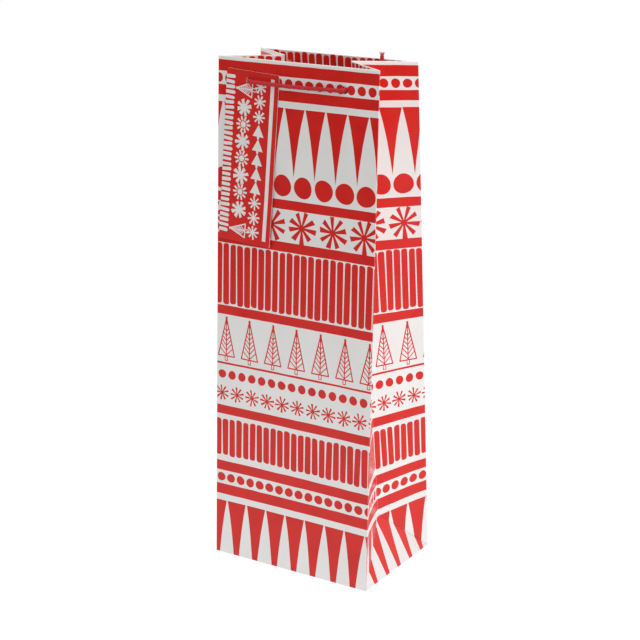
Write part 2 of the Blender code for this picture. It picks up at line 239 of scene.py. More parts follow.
def rim_lines(layers):
    r = BEND
    v0, quarter, flat = HEIGHT - r, math.pi * r / 2, layers - 2 * r
    return [v0, v0 + quarter / 2, v0 + quarter, v0 + quarter + flat, v0 + quarter * 1.5 + flat, v0 + 2 * quarter + flat]


def sheet_v(h, layers):
    """The place on the sheet, inside the bag, that lies at height h."""
    r = BEND
    return (HEIGHT - r) * 2 + math.pi * r + layers - 2 * r - h


def inner_normal(half):
    return FRONT_IN_N if half == "front" else BACK_IN_N


def gusset_frame(side, half, v):
    """Corner point, direction towards the inner crease, its length, and the inward normal."""
    k, e = corner_at(side, half, v), inner_end(side, half, v)
    run = e - k
    length = run.length
    run = run / length if length > 1e-6 else V(-side, 0, 0)
    up = (corner_at(side, half, v + 1) - k).normalized()
    n = run.cross(up)
    n.normalize()
    if n.dot(V(-side, 0, 0)) < 0:
        n.negate()
    return k, run, length, n


def bend(k, along, normal, other, distance, zone, radius):
    """A point on a rounded fold: k, the fold line, is not used; along runs into this face, normal is the way the bend
    turns, other runs into the face beyond. distance is how far into the face, from 0 at the middle of the bend."""
    angle = math.acos(max(-1.0, min(1.0, along.dot(other))))     # between the two faces
    half = (math.pi - angle) / 2                                   # what this side turns through
    tangent = radius * math.tan(half)
    total = (zone - tangent) + radius * half
    p = distance / zone * total                                    # path from the middle of the bend
    if p >= radius * half:
        return along * (tangent + p - radius * half), 0.0, 1.0
    ang = half - p / radius
    return along * (tangent - radius * math.sin(ang)) + normal * (radius - radius * math.cos(ang)), ang, 0.0


def ripple(s, v, seed, amount):
    """Slight unevenness of a hand-folded sheet, never outwards."""
    a = math.sin(s * 0.031 + seed) * math.sin(v * 0.021 + seed * 1.7) + 0.6 * math.sin(s * 0.067 + v * 0.013 + seed * 2.3)
    b = 0.5 * math.sin(v * 0.047 + s * 0.011 + seed * 3.1)
    return amount * (0.5 + 0.25 * (a + b))


def panel_surface(half):
    """Maps s (mm across from the left seen from outside) and v to space. Front: s = x + HW, back: s = HW - x."""
    base = front_at if half == "front" else back_at
    n = inner_normal(half)
    sign = 1 if half == "front" else -1

    def surface(s, v):
        h, d = rim_fold(v, LAYERS)
        edge = min(s, WIDTH - s)
        swell = smooth(edge / 30.0) * smooth(h / 40.0) * smooth((HEIGHT - 34 - h) / 60.0)
        if half == "back":
            swell *= smooth((100 - s) / 25.0)          # flat where the glued lap backs it
        d += swell * (0.35 + ripple(s, h, 1.0 if half == "front" else 4.0, 0.55)) if v < HEIGHT - 30 else 0.0
        if edge < ZONE and v < HEIGHT + 2:
            right = s > WIDTH / 2
            side = (1 if right else -1) * sign
            k, run, _, _ = gusset_frame(side, half, max(h, 0.5))
            k = base(side * HW, h)
            along = V(-side, 0, 0)
            q, _, _ = bend(k, along, n, run, edge, ZONE, BEND)
            return k + q + n * d
        x = (s - HW) * sign
        return base(x, h) + n * d
    return surface


def gusset_surface(side, half):
    """Maps q (mm from the corner fold, 0 to 45) and v to space."""
    def surface(q, v):
        h, d = rim_fold(v, GUSSET_LAYERS)
        k, run, length, n = gusset_frame(side, half, max(h, 0.5))
        if h < 0.5:
            k = corner_at(side, half, h)
        flat = HD if h >= VERTEX_V else max(HD * h / VERTEX_V, 0.05)
        scale = length / flat
        zone = min(ZONE, 0.28 * flat)
        into = smooth((h - VERTEX_V) / 8.0)
        swell = smooth(q / 12.0) * smooth((flat - q) / 12.0) * smooth(h / 60.0) * smooth((HEIGHT - 34 - h) / 60.0)
        if v < HEIGHT - 30:
            d += swell * ripple(q + 13 * side, h, 7.0 + side + (2.0 if half == "front" else 0.0), 0.9)
        if q < zone:
            panel = V(-side, 0, 0)
            p, _, _ = bend(k, run, n, panel, q * scale, zone * scale, BEND)
            return k + p + n * d
        if flat - q < ZONE and into > 0 and v < HEIGHT + 2:
            e = inner_end(side, half, h)
            other = "back" if half == "front" else "front"
            ko = corner_at(side, other, h)
            away = (ko - e).normalized()
            radius = BEND * into
            p, _, _ = bend(e, -run, -n, away, (flat - q) * scale, ZONE * scale, max(radius, 0.01))
            return e + p + n * d
        return k + run * (q * scale) + n * d
    return surface


# ------------------------------------------------------------------ printed artwork (mm on the flat sheet)
def strip(s0, s1, z0, z1, seed):
    n = max(2, int((s1 - s0) / 7))
    top = [(s0 + (s1 - s0) * i / n, z1 + 0.22 * (hash01(i, seed) - 0.5)) for i in range(n + 1)]
    low = [(s0 + (s1 - s0) * i / n, z0 + 0.22 * (hash01(i, seed + 5) - 0.5)) for i in range(n + 1)]
    return low + top[::-1]


def bar(c, z0, z1, w, seed):
    """A tall bar with rounded, slightly uneven ends."""
    z0 += 1.1 * (hash01(seed, 1) - 0.5)
    z1 += 0.9 * (hash01(seed, 2) - 0.5)
    wt, wb = w * (0.94 + 0.14 * hash01(seed, 3)), w * (0.94 + 0.14 * hash01(seed, 4))
    lean = 0.5 * (hash01(seed, 5) - 0.5)
    out = []
    for cz, half, cc, start in ((z1, wt / 2, c + lean, 0.0), (z0, wb / 2, c - lean, math.pi)):
        for i in range(9):
            a = start + math.pi * i / 8
            rise = half * 0.95
            centre = cz - rise if start == 0 else cz + rise
            u, w = math.cos(a), math.sin(a)
            out.append((cc + half * math.copysign(abs(u) ** 0.72, u), centre + rise * math.copysign(abs(w) ** 0.72, w) + 0.35 * half * u * (hash01(seed, 6, start) - 0.5)))
    return out


def dot(c, z, r, seed, n=18):
    out = []
    for i in range(n):
        a = 2 * math.pi * i / n
        k = 1 + 0.035 * math.sin(2 * a + 6 * hash01(seed, 1)) + 0.02 * math.sin(3 * a + 6 * hash01(seed, 2))
        out.append((c + r * k * math.cos(a), z + r * k * math.sin(a)))
    return out


def asterisk(c, z, radius, rays, inner, outer, seed):
    """Wedge rays that widen outwards from a joined centre."""
    out = [dot(c, z, inner * 1.1, seed, 9)]
    for i in range(rays):
        a = 2 * math.pi * (i + 0.10 * (hash01(seed, i) - 0.5)) / rays + 0.4 * hash01(seed, 77) + math.pi / 2
        r = radius * (0.92 + 0.16 * hash01(seed, i, 3))
        u, w = (math.cos(a), math.sin(a)), (-math.sin(a), math.cos(a))
        o = outer * (0.85 + 0.3 * hash01(seed, i, 4))
        tilt = 0.25 * o * (hash01(seed, i, 5) - 0.5)
        out.append([(c - w[0] * inner / 2, z - w[1] * inner / 2), (c + u[0] * (r + tilt) - w[0] * o / 2, z + u[1] * (r + tilt) - w[1] * o / 2),
                    (c + u[0] * (r - tilt) + w[0] * o / 2, z + u[1] * (r - tilt) + w[1] * o / 2), (c + w[0] * inner / 2, z + w[1] * inner / 2)])
    return out


def stroke(a, b, w):
    d = (b[0] - a[0], b[1] - a[1])
    l = math.hypot(*d)
    n = (-d[1] / l * w / 2, d[0] / l * w / 2)
    e = (d[0] / l * w * 0.3, d[1] / l * w * 0.3)
    return [(a[0] - e[0] - n[0], a[1] - e[1] - n[1]), (b[0] + e[0] - n[0], b[1] + e[1] - n[1]),
            (b[0] + e[0] + n[0], b[1] + e[1] + n[1]), (a[0] - e[0] + n[0], a[1] - e[1] + n[1])]


def tree(c, z, w, h, line, seed, turn=0.0, trunk=True):
    """A line-drawn tree: outline, stem and rising branches. z is its base; turn rotates it about its base."""
    out = []
    ca, sa = math.cos(turn), math.sin(turn)

    def at(x, y):
        return (c + x * ca - y * sa, z + x * sa + y * ca)
    sway = 0.35 * (hash01(seed, 1) - 0.5)
    top, left, right_ = (sway, h), (-w / 2, 0.45 * (hash01(seed, 2) - 0.5)), (w / 2, -0.45 * hash01(seed, 3))
    for a, b, t in ((left, top, line), (right_, top, line), (left, right_, line), ((0, 0), (sway, h), line * 0.85)):
        out.append(stroke(at(*a), at(*b), t))
    out.append(stroke(at(sway, h - h * 0.14), at(sway, h + line * 0.3), line * 1.8))
    rows = 6
    for i in range(rows):
        y0 = h * (0.02 + 0.125 * i)
        for sgn in (-1, 1):
            rise = h * 0.20 * (1 - 0.08 * i)
            # meet the outline: x = w/2 * (1 - y/h)
            slope = 1.15 if i else 0.95
            # solve y0 + slope * x = y and x = w/2 * (1 - y/h)
            x = (w / 2) * (1 - y0 / h) / (1 + slope * (w / 2) / h)
            y = y0 + slope * x
            out.append(stroke(at(sway * y0 / h, y0), at(sgn * x, y), line * 0.72))
    if trunk:
        for a, b in (((-1.0, 0), (-1.0, -3.3)), ((1.0, 0), (1.0, -3.3)), ((-1.0, -3.3), (1.0, -3.3))):
            out.append(stroke(at(*a), at(*b), line * 0.66))
    return out


def cones(s0, s1, first, pitch, z_top, z_tip, half_tip, seed, flat_tip=False):
    """Red wedges that point down; the sheet's white shows between them as upright cones."""
    out = []
    i0 = int(math.floor((s0 - first) / pitch)) - 1
    i1 = int(math.ceil((s1 - first) / pitch)) + 1
    for i in range(i0, i1):
        a, b = first + i * pitch + 0.45, first + (i + 1) * pitch - 0.45
        a += 0.6 * (hash01(i, seed) - 0.5)
        b += 0.6 * (hash01(i, seed + 1) - 0.5)
        tip = (a + b) / 2 + 0.9 * (hash01(i, seed + 2) - 0.5)
        zt = z_tip + (0 if flat_tip else 2.2 * (hash01(i, seed + 3) - 0.5))
        h = z_top - zt
        zt0 = z_top + 0.25 * (hash01(i, seed + 4) - 0.5)
        poly = [(a, zt0), (a + (tip - half_tip - a) * 0.30, z_top - h * 0.22), (a + (tip - half_tip - a) * 0.56, z_top - h * 0.45), (a + (tip - half_tip - a) * 0.83, z_top - h * 0.76), (tip - half_tip, zt)]
        if half_tip > 0.01:
            poly.append((tip + half_tip, zt))
        poly += [(b - (b - tip - half_tip) * 0.83, z_top - h * 0.76), (b - (b - tip - half_tip) * 0.56, z_top - h * 0.45), (b - (b - tip - half_tip) * 0.30, z_top - h * 0.22), (b, zt0 + 0.2 * (hash01(i, seed + 6) - 0.5))]
        out.append(poly[::-1])
    return out


K = 360.0 / 358.2
# where each row's repeats start: on the front panel, and from the right fold onwards
ROWS = {
    "top_dots": (8.0, 121.4, 200.7), "cones": (16.4, 119.6, 204.6), "circles": (16.4, 118.7, 204.1),
    "big": (24.5, 118.0, 203.5), "long": (5.77, 7.7, 203.0), "trees": (19.4, 124.6, 203.7),
    "small_dots": (8.3, 121.0, 196.0), "small": (12.6, 118.2, 195.0), "short": (5.77, 7.7, 203.5),
    "low_dots": (8.2, 61.8, 197.0), "low_cones": (16.5, 58.8, 199.5), "inside": (5.8, 4.0, 202.0),
}


def places(row, s0, s1):
    pitch, a, b = ROWS[row]
    start = a if s1 <= 128 else b
    i0 = int(math.ceil((s0 - 12 - start) / pitch))
    i1 = int(math.floor((s1 + 12 - start) / pitch))
    return [(start + i * pitch, i) for i in range(i0, i1 + 1)]


STRETCH = 0.090


def lay(poly):
    """The print's rows are set a little taller towards the foot of the bag than towards its rim."""
    out = []
    for s, v in poly:
        t = v / HEIGHT
        out.append((s, HEIGHT * t / (1 - STRETCH + STRETCH * t) if t < 1 else v))
    return out


def rise(z):
    t = z / HEIGHT
    return HEIGHT * t / (1 - STRETCH + STRETCH * t)


def whole(polys, z):
    """Shapes that keep their own form and only take their row's height."""
    up = rise(z) - z
    return [[(s, v + up) for s, v in p] for p in polys]


def wrap_art(s0, s1):
    """The printed shapes between s0 and s1, in the order they are laid down; all are red ink."""
    lo, hi = s0 - 6, s1 + 6
    art = []
    kept = []
    for k, (z0, z1) in enumerate(((347.4, 355.6), (329.9, 337.5), (252.7, 259.5), (222.5, 229.4), (170.8, 177.2),
                                  (134.9, 136.3), (98.9, 105.2), (58.6, 65.4), (41.6, 48.9))):
        art.append(strip(lo, hi, z0 * K, z1 * K, k * 11 + 3))
    for c, i in places("top_dots", s0, s1):
        kept += whole([dot(c, 342.4 * K, 3.15, i + 100)], 342.4 * K)
    pitch, a, b = ROWS["cones"]
    art += cones(lo, hi, (a if s1 <= 128 else b), pitch, 325 * K, 275.2 * K, 0.0, 7)
    for c, i in places("circles", s0, s1):
        kept += whole([dot(c, 269.4 * K, 7.2, i + 200, 26)], 269.4 * K)
    for c, i in places("big", s0, s1):
        kept += whole(asterisk(c, 241.0 * K, 10.9, 9, 0.95, 3.6, i + 300), 241.0 * K)
    for c, i in places("long", s0, s1):
        art.append(bar(c, 178.3 * K, 221.8 * K, 4.72, i + 400))
    for c, i in places("trees", s0, s1):
        art += tree(c, 140.9 * K, 13.6, 27.4 * K, 0.92, i + 500)
    for c, i in places("small_dots", s0, s1):
        kept += whole([dot(c, 127.6 * K, 3.2, i + 600)], 127.6 * K)
    for c, i in places("small", s0, s1):
        kept += whole(asterisk(c, 114.0 * K, 5.7, 9, 0.6, 1.5, i + 700), 114.0 * K)
    for c, i in places("short", s0, s1):
        art.append(bar(c, 69.6 * K, 95.9 * K, 4.72, i + 800))
    for c, i in places("low_dots", s0, s1):
        kept += whole([dot(c, 53.7 * K, 3.35, i + 900)], 53.7 * K)
    pitch, a, b = ROWS["low_cones"]
    art += cones(lo, hi, (a if s1 <= 128 else b), pitch, 37.1 * K, -6.0, 1.7, 19, True)
    for c, i in places("inside", s0, s1):
        art.append(bar(c, HEIGHT + (1.55 if s1 - s0 > 100 else 1.15), HEIGHT + 45.0, 4.6, i + 1000))
    return [lay(p) for p in art] + kept


# ------------------------------------------------------------------ sheets with the artwork as geometry
def circle(c, z, r, n=24):
    return [(c + r * math.cos(2 * math.pi * i / n), z + r * math.sin(2 * math.pi * i / n)) for i in range(n)]


def inside(poly, x, y):
    hit = False
    x0, y0 = poly[-1]
    for x1, y1 in poly:
        if (y1 > y) != (y0 > y) and x < (x0 - x1) * (y - y1) / (y0 - y1) + x1:
            hit = not hit
        x0, y0 = x1, y1
    return hit


class Finder:
    """Says whether a place lies in any of many small outlines."""

    def __init__(self, polys, cell=8.0):
        self.cell, self.cells = cell, {}
        for poly in polys:
            xs, ys = [p[0] for p in poly], [p[1] for p in poly]
            box = (min(xs), max(xs), min(ys), max(ys))
            for i in range(int(box[0] // cell), int(box[1] // cell) + 1):
                for j in range(int(box[2] // cell), int(box[3] // cell) + 1):
                    self.cells.setdefault((i, j), []).append((box, poly))

    def hit(self, x, y):
        for box, poly in self.cells.get((int(x // self.cell), int(y // self.cell)), ()):
            if box[0] <= x <= box[1] and box[2] <= y <= box[3] and inside(poly, x, y):
                return True
        return False


def printed_sheet(name, domain, art, surface, lines_v, lines_s, mats, holes=(), thickness=PAPER, wear_and_highlight=None, s_shift=0.0, outward=1, to_m=0.001):
    """A closed thin sheet whose faces follow the printed outlines. domain, art and holes are in mm on the flat
    sheet; surface turns a place on it into space. Slots: white, ink, worn white, worn ink (fold wear that is also a
    painted highlight along the folds), reverse."""
    pts, edges, faces = [], [], []

    def add(poly):
        if sum(a[0] * b[1] - a[1] * b[0] for a, b in zip(poly, poly[1:] + poly[:1])) < 0:
            poly = poly[::-1]
        i0 = len(pts)
        pts.extend(Vector(p) for p in poly)
        faces.append(list(range(i0, i0 + len(poly))))
        return len(faces) - 1
    for outline in [domain, *holes, *art]:
        add(outline)
    s_lo, s_hi = min(p[0] for p in domain), max(p[0] for p in domain)
    v_lo, v_hi = min(p[1] for p in domain), max(p[1] for p in domain)
    for v in lines_v:
        if v_lo < v < v_hi:
            i0 = len(pts)
            pts.extend((Vector((s_lo - 1, v)), Vector((s_hi + 1, v))))
            edges.append((i0, i0 + 1))
    for s in lines_s:
        if s_lo < s < s_hi:
            i0 = len(pts)
            pts.extend((Vector((s, v_lo - 1)), Vector((s, v_hi + 1))))
            edges.append((i0, i0 + 1))
    out_v, _, out_f, _, _, _ = delaunay_2d_cdt(pts, edges, faces, 0, 1e-4, True)
    finder = Finder(art)
    keep = []
    for f in out_f:
        a, b, c = (out_v[i] for i in f)
        if abs((b - a).cross(c - a)) < 1e-9:
            continue
        if (b - a).cross(c - a) < 0:
            f = f[::-1]
        m = ((a + b + c) / 3)
        if not inside(domain, m.x, m.y) or any(inside(h, m.x, m.y) for h in holes):
            continue
        slot = 1 if finder.hit(m.x, m.y) else 0
        # places by the folds take the worn slots: fold wear and painted highlight
        if wear_and_highlight and wear_and_highlight(m.x, m.y):
            slot += 2
        keep.append((tuple(f), slot))
    used = sorted({i for f, _ in keep for i in f})
    index = {i: k for k, i in enumerate(used)}
    outer, inner = [], []
    step = 0.02
    for i in used:
        s, v = out_v[i].x - s_shift, out_v[i].y
        p = surface(s, v)
        ds = surface(s + step, v) - surface(s - step, v)
        dv = surface(s, v + step) - surface(s, v - step)
        n = ds.cross(dv)
        if n.length < 1e-12:
            n = V(0, 0, 1)
        n.normalize()
        outer.append(p * to_m)
        inner.append((p - n * thickness) * to_m)
    count = len(outer)
    tris = [(tuple(index[i] for i in f), slot) for f, slot in keep]
    border = {}
    for f, _ in tris:
        for a, b in zip(f, f[1:] + f[:1]):
            if (b, a) in border:
                del border[(b, a)]
            else:
                border[(a, b)] = True
    mesh = bpy.data.meshes.new(name)
    all_faces = [f for f, _ in tris] + [tuple(i + count for i in f[::-1]) for f, _ in tris] + [(b, a, a + count, b + count) for a, b in border]
    mesh.from_pydata(outer + inner, [], all_faces)
    slots = [s for _, s in tris] + [4] * (len(tris) + len(border))
    for m in mats:
        mesh.materials.append(m)
    mesh.polygons.foreach_set("material_index", slots)
    mesh.polygons.foreach_set("use_smooth", [True] * len(slots))
    sharp = mesh.attributes.new("sharp_edge", "BOOLEAN", "EDGE")
    rim = set()
    for a, b in border:
        rim.add((min(a, b), max(a, b)))
        rim.add((min(a, b) + count, max(a, b) + count))
    for e in mesh.edges:
        i, j = e.vertices
        if (min(i, j), max(i, j)) in rim or abs(i - j) == count:
            sharp.data[e.index].value = True
    mesh.update()
    obj = bpy.data.objects.new(name, mesh)
    bpy.context.scene.collection.objects.link(obj)
    return obj


def steps(a, b, gap):
    n = max(1, round((b - a) / gap))
    return [a + (b - a) * i / n for i in range(n + 1)]


EDGE_LINES = [ZONE * f for f in (0.10, 0.20, 0.30, 0.42, 0.6, 1.0)]


# strips beside the side folds and along the rim fold: fold wear, partly a painted highlight
def fold_wear_and_highlight(width, rim, crease=None):
    def wear_and_highlight(s, v):
        if min(s, width - s) < 0.42:
            return True
        return rim - 0.35 < v < rim + 0.9
    return wear_and_highlight


# the panels, each with its turn-in, in one piece
panel_objects = {}
for half, s0 in (("front", 0.0), ("back", 217.0)):
    s1 = s0 + WIDTH
    end = sheet_v(HEIGHT - TURN_IN, LAYERS)
    slope = 4.3
    top = sheet_v(HEIGHT - BEND, LAYERS)
    domain = [(s0, 0.12), (s1, 0.12), (s1, HEIGHT - BEND), (s1 - 0.5, HEIGHT), (s1 - slope, top), (s1 - slope - 0.6, end),
              (s0 + slope + 0.6, end), (s0 + slope, top), (s0 + 0.5, HEIGHT), (s0, HEIGHT - BEND)]
    holes = []
    for x in (-HOLE_X, HOLE_X):
        s = s0 + (HW + x if half == "front" else HW - x)
        holes.append(circle(s, HEIGHT - HOLE_DROP, HOLE_R))
        holes.append(circle(s, sheet_v(HEIGHT - HOLE_DROP, LAYERS), HOLE_R))
    surface = panel_surface(half)
    wear_and_highlight_at = fold_wear_and_highlight(WIDTH, HEIGHT)
    obj = printed_sheet(f"{half}_panel_print", domain, wrap_art(s0, s1), surface,
                        steps(0, HEIGHT, 9.0) + rim_lines(LAYERS) + [345, 335, 385], [s0 + x for x in EDGE_LINES] + [s1 - x for x in EDGE_LINES] + steps(s0, s1, 9.0),
                        PRINT, holes, wear_and_highlight=lambda s, v, s0=s0: wear_and_highlight_at(s - s0, v), s_shift=s0)
    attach(obj, half)
    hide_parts(f"{half}_panel", f"{half}_rim_turn_in")
    panel_objects[half] = obj

# the gusset halves. Seen from outside, s runs on to the right round the bag.
for side, word in ((1, "right"), (-1, "left")):
    for half in ("front", "back"):
        if side == 1:
            base, flip = (127.0, False) if half == "front" else (217.0, True)
        else:
            base, flip = (434.0, True) if half == "front" else (344.0, False)
        sign = -1 if flip else 1

        def to_s(q, base=base, sign=sign):
            return base + sign * q
        raw = gusset_surface(side, half)

        def surface(s, v, raw=raw, base=base, sign=sign):
            return raw((s - base) * sign, v)
        end = sheet_v(HEIGHT - TURN_IN, GUSSET_LAYERS)
        top = sheet_v(HEIGHT - BEND, GUSSET_LAYERS)
        low = 1.2
        outline = [(0.0, low), (HD * low / VERTEX_V * 0.97, low), (HD - 0.05, VERTEX_V + 0.03), (HD, VERTEX_V + 4.0), (HD, HEIGHT - BEND), (HD - 0.2, HEIGHT), (HD - 1.3, top), (HD - 1.6, end),
                   (3.9, end), (3.3, top), (0.5, HEIGHT), (0.0, HEIGHT - BEND)]
        domain = [(to_s(q), v) for q, v in outline]
        if flip:
            domain.reverse()
        a, b = sorted((to_s(0), to_s(HD)))

        # the gusset's strips by its folds, creases and rim: fold wear, partly a painted highlight
        def wear_and_highlight_at(s, v, base=base, sign=sign):
            q = (s - base) * sign
            if q < 0.42 or (HD - q < 0.5 and v > VERTEX_V):
                return True
            if v < VERTEX_V + 2 and abs(q - HD * v / VERTEX_V) < 0.45:
                return True
            return HEIGHT - 0.35 < v < HEIGHT + 0.8
        obj = printed_sheet(f"{word}_gusset_{half}_print", domain, wrap_art(a, b), surface,
                            steps(0, HEIGHT, 6.0) + rim_lines(GUSSET_LAYERS) + [385], [to_s(x) for x in EDGE_LINES] + [to_s(HD - x) for x in EDGE_LINES] + steps(a, b, 6.0),
                            PRINT, wear_and_highlight=wear_and_highlight_at)
        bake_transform(obj)
        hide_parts(f"{word}_gusset_{half}", f"{word}_{half}_rim_turn_in")
    # the triangle under the diagonal creases
    base = 127.0 if side == 1 else 344.0
    foot_a = V(side * HW, -HD * side, 0)
    foot_b = V(side * HW, HD * side, 0)
    tip = vertex(side)

    def surface(s, v, base=base, foot_a=foot_a, foot_b=foot_b, tip=tip):
        t = v / VERTEX_V
        u = (s - base - HD * t) / DEPTH
        return foot_a + (foot_b - foot_a) * u + (tip - foot_a) * t
    domain = [(base + 0.45, 0.2), (base + DEPTH - 0.45, 0.2), (base + HD, VERTEX_V - 0.12)]
    # the triangle's white slot takes the darker white, painted shade
    obj = printed_sheet(f"{word}_gusset_triangle_print", domain, wrap_art(base, base + DEPTH), surface,
                        steps(0, 42, 7.0), steps(base, base + DEPTH, 7.5), (white_foot_painted_shade, *PRINT[1:]),
                        # strips along the diagonal creases: fold wear, partly a painted highlight
                        wear_and_highlight=lambda s, v, base=base: abs(abs(s - base - HD) + HD * v / VERTEX_V - HD) < 0.45)
    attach(obj, f"{word}_triangle")
    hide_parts(f"{word}_gusset_triangle")

# inner pieces keep their own shape and take a real stock
for name, mat in (("front_rim_card", card_stock), ("back_rim_card", card_stock), ("glued_side_lap", reverse), ("bottom_back_flap", reverse),
                  ("bottom_left_flap", reverse), ("bottom_right_flap", reverse), ("bottom_front_flap", white_print), ("base_board", board_stock)):
    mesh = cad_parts[name].data
    mesh.materials.clear()
    mesh.materials.append(mat)


# ------------------------------------------------------------------ gift tag
def off_front(x, below, n):
    return front_at(x, HEIGHT - HOLE_DROP - below) - FRONT_IN_N * n


tag_hole = off_front(-HOLE_X, 0.0, GAP)
out_n = -FRONT_IN_N
across = V(1, 0, 0)
upward = out_n.cross(across).normalized()
if upward.z < 0:
    upward.negate()
turn = Matrix.Rotation(-TAG_TILT, 3, out_n)
across, upward = turn @ across, turn @ upward
tag_centre = tag_hole + out_n * TAG_T - across * TAG_HOLE_SIDE - upward * (TAG_H / 2 - TAG_HOLE_DROP)


def tag_surface(s, v):
    """s from the tag's left edge, v up from its bottom edge; the printed face."""
    curl = 0.5 * smooth((40 - v) / 40.0) + 0.10 * smooth((s - 30) / 11.0) * smooth((TAG_H - 20 - v) / 60.0)
    return tag_centre + across * (s - TAG_W / 2) + upward * (v - TAG_H / 2) + out_n * curl


def tag_art():
    """White shapes on the tag's red face; everything else on it is ink."""
    white = []
    n = 31
    for i in range(n):
        z = 6.8 + i * 3.53
        ln = 7.3 + 0.8 * (hash01(i, 5) - 0.5)
        w = 2.25 * (0.9 + 0.2 * hash01(i, 6))
        c = -1.0 + ln / 2
        white.append(_lying_bar(c, z, ln + 2.0, w, i))
    # a tree at each end of the first column, tips to the left
    white += tree(21.2, 105.6, 10.4, 12.4, 0.82, 31, math.pi / 2)
    white += tree(21.0, 8.6, 9.6, 12.0, 0.82, 33, math.pi / 2)
    # stars and dots where the column runs on
    for i, z in enumerate((93.0, 81.4, 69.8, 58.2, 46.6, 35.0, 22.6)):
        if i % 2 == 0:
            white += asterisk(15.4, z, 5.9, 8, 1.3, 2.5, 40 + i)
        else:
            # a bauble: a ring of short rays round a dot
            white.append(dot(15.4, z, 2.1, 60 + i, 18))
            for k in range(10):
                a = 2 * math.pi * k / 10
                white.append(stroke((15.4 + 3.1 * math.cos(a), z + 3.1 * math.sin(a)), (15.4 + 5.3 * math.cos(a), z + 5.3 * math.sin(a)), 1.35))
    for i, z in enumerate((108.0, 98.2, 88.0)):
        white += asterisk(27.8, z, 4.7, 8, 0.8, 1.35, 90 + i)
    for i, z in enumerate((29.0, 18.8, 8.6)):
        white += asterisk(27.8, z, 4.7, 8, 0.8, 1.35, 95 + i)
    for i, z in enumerate((78.6, 68.8, 59.0, 49.2, 39.4)):
        white.append([(23.4, z - 3.6), (32.2, z - 3.9), (27.9, z + 4.4)])
        white.append(stroke((27.8, z - 3.8), (27.8, z - 5.0), 1.6))
    white.append([(35.7, 4.0), (38.6, 4.0), (38.7, TAG_H - 3.4), (35.8, TAG_H - 3.2)])
    return white


def _lying_bar(c, z, length, w, seed):
    out = []
    for cc, start in ((c + length / 2 - w / 2, -math.pi / 2), (c - length / 2 + w / 2, math.pi / 2)):
        for i in range(6):
            a = start + math.pi * i / 5
            out.append((cc + w / 2 * math.cos(a), z + w / 2 * math.sin(a) + 0.2 * (hash01(seed, 9) - 0.5) * (cc - c)))
    return out


white_shapes = tag_art()
corner = 1.3
tag_domain = []
for cx, cz, a0 in ((corner, corner, math.pi), (TAG_W - corner, corner, 1.5 * math.pi), (TAG_W - corner, TAG_H - corner, 0.0), (corner, TAG_H - corner, 0.5 * math.pi)):
    for i in range(6):
        a = a0 + math.pi / 2 * i / 5
        tag_domain.append((cx + corner * math.cos(a), cz + corner * math.sin(a)))
tag_obj = printed_sheet("gift_tag_print", tag_domain, white_shapes, tag_surface, steps(0, TAG_H, 8.0), steps(0, TAG_W, 8.0),
                        (tag_red, tag_white, tag_red, tag_white, tag_back), [circle(TAG_W / 2 + TAG_HOLE_SIDE, TAG_H - TAG_HOLE_DROP, 2.6)], thickness=TAG_T)
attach(tag_obj, "tag")
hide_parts("gift_tag")


# ------------------------------------------------------------------ cords
def smooth_route(points, spacing):
    pts = [Vector(p) for p in points]
    pts = [pts[0] * 2 - pts[1]] + pts + [pts[-1] * 2 - pts[-2]]
    fine = []
    for k in range(1, len(pts) - 2):
        p0, p1, p2, p3 = pts[k - 1:k + 3]
        t1 = (p1 - p0).length ** 0.5
        t2 = t1 + (p2 - p1).length ** 0.5
        t3 = t2 + (p3 - p2).length ** 0.5
        for i in range(24):
            t = t1 + (t2 - t1) * i / 24
            a1 = p0 * ((t1 - t) / t1) + p1 * (t / t1)
            a2 = p1 * ((t2 - t) / (t2 - t1)) + p2 * ((t - t1) / (t2 - t1))
            a3 = p2 * ((t3 - t) / (t3 - t2)) + p3 * ((t - t2) / (t3 - t2))
            b1 = a1 * ((t2 - t) / t2) + a2 * (t / t2)
            b2 = a2 * ((t3 - t) / (t3 - t1)) + a3 * ((t - t1) / (t3 - t1))
            fine.append(b1 * ((t2 - t) / (t2 - t1)) + b2 * ((t - t1) / (t2 - t1)))
    fine.append(pts[-2])
    total = [0.0]
    for a, b in zip(fine, fine[1:]):
        total.append(total[-1] + (b - a).length)
    n = max(2, round(total[-1] / spacing))
    out, k = [], 0
    for i in range(n + 1):
        want = total[-1] * i / n
        while k < len(total) - 2 and total[k + 1] < want:
            k += 1
        share = (want - total[k]) / max(total[k + 1] - total[k], 1e-12)
        out.append(fine[k].lerp(fine[k + 1], share))
    return out


def sweep(route, radius, lobes=3, pitch=7.5, seg=18, taper=None, depth=0.22, seed=0):
    """Vertices and faces of a twisted cord along a route (mm)."""
    verts, faces = [], []
    tangent = [(route[min(i + 1, len(route) - 1)] - route[max(i - 1, 0)]).normalized() for i in range(len(route))]
    side = tangent[0].orthogonal().normalized()
    run = 0.0
    for i, (p, t) in enumerate(zip(route, tangent)):
        if i:
            run += (p - route[i - 1]).length
            side = (side - t * side.dot(t)).normalized()
        other = t.cross(side)
        phase = 2 * math.pi * run / pitch
        r0 = radius * (taper(i / (len(route) - 1)) if taper else 1.0)
        for k in range(seg):
            a = 2 * math.pi * k / seg
            c = abs(math.cos(lobes / 2 * (a - phase)))
            r = r0 * (1 - depth + depth * c ** 0.6) if lobes else r0
            verts.append(p + side * (r * math.cos(a)) + other * (r * math.sin(a)))
    n = len(route)
    for i in range(n - 1):
        for k in range(seg):
            a, b = i * seg + k, i * seg + (k + 1) % seg
            faces.append((a, b, b + seg, a + seg))
    verts.append(route[0])
    verts.append(route[-1])
    for k in range(seg):
        faces.append((len(verts) - 2, (k + 1) % seg, k))
        faces.append((len(verts) - 1, (n - 1) * seg + k, (n - 1) * seg + (k + 1) % seg))
    return verts, faces


